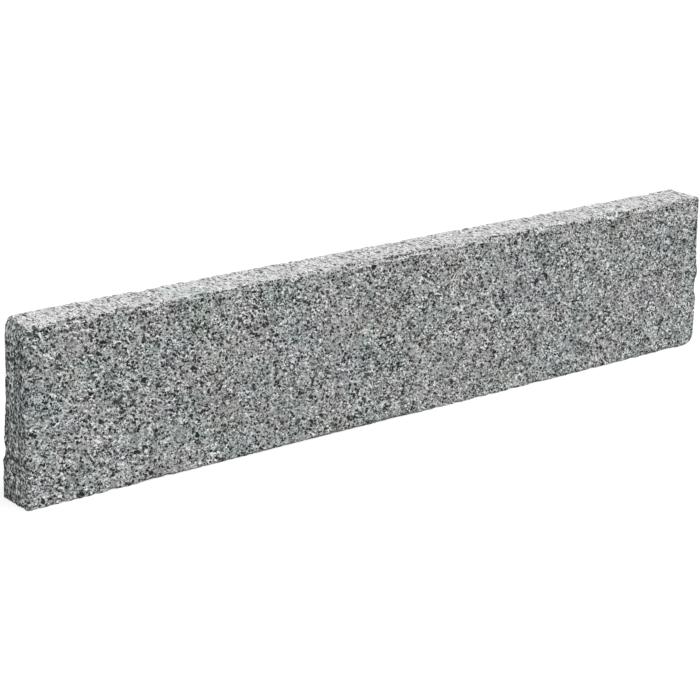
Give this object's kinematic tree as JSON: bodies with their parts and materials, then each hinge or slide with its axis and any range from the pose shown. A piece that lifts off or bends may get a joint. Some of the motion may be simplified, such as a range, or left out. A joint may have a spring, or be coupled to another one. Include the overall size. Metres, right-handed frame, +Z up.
{
  "type": "granite kerb stone",
  "caption": "Long rectangular granite kerb stone on its narrow bed, with bush-hammered faces, chipped and softly worn arrises and one rounded lower corner.",
  "frame": {"origin": "middle of the bed, at the level that the stone stands on", "axes": "+X along the length, -Y out of the face towards the path, +Z up"},
  "size_m": [1, 0.05, 0.2],
  "materials": {
    "granite": "bush-hammered, medium-grained grey granite"
  },
  "bodies": {
    "root": {"kerb_stone": "granite"}
  },
  "joints": []
}
